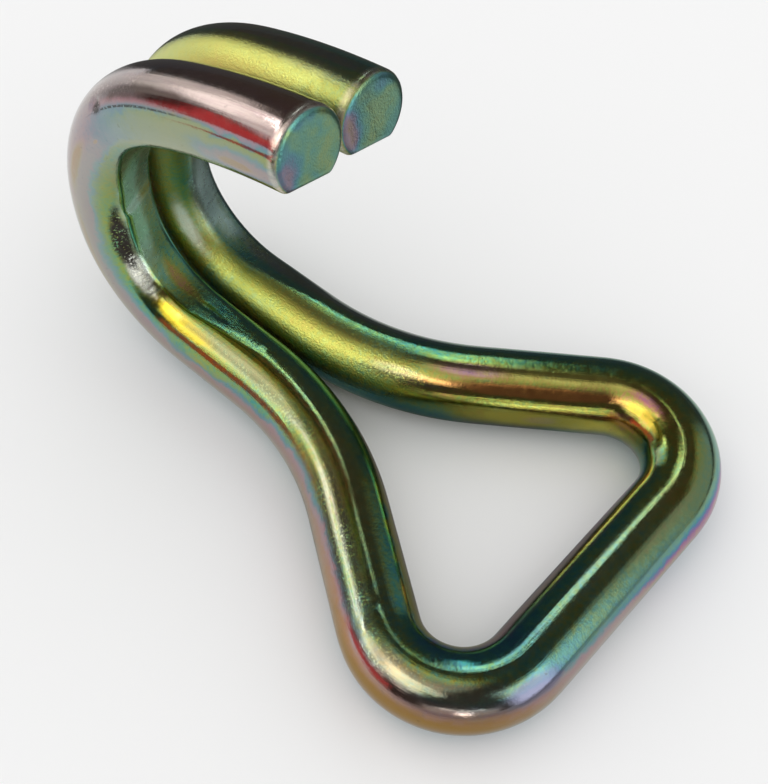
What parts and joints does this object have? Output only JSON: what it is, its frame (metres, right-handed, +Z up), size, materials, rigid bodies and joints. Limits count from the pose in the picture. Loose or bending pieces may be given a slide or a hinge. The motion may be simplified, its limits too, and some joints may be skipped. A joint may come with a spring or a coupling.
{
  "type": "webbing hook",
  "caption": "Double J hook bent from one round steel wire, with a triangular eye for flat webbing and a pair of prongs that curl over side by side.",
  "frame": {"origin": "under the middle of the part's bounding box, on the surface that it lies on", "axes": "+Y from the eye's bar towards the hook, +X across the hook, +Z up, the way the prongs curl when the hook lies on its back"},
  "size_m": [0.057, 0.0848, 0.0594],
  "materials": {
    "chromated_wire": "zinc plated and yellow passivated, satin to bright, with pale green, pink and violet iridescence"
  },
  "bodies": {
    "root": {"wire_hook": "chromated_wire"}
  },
  "joints": []
}
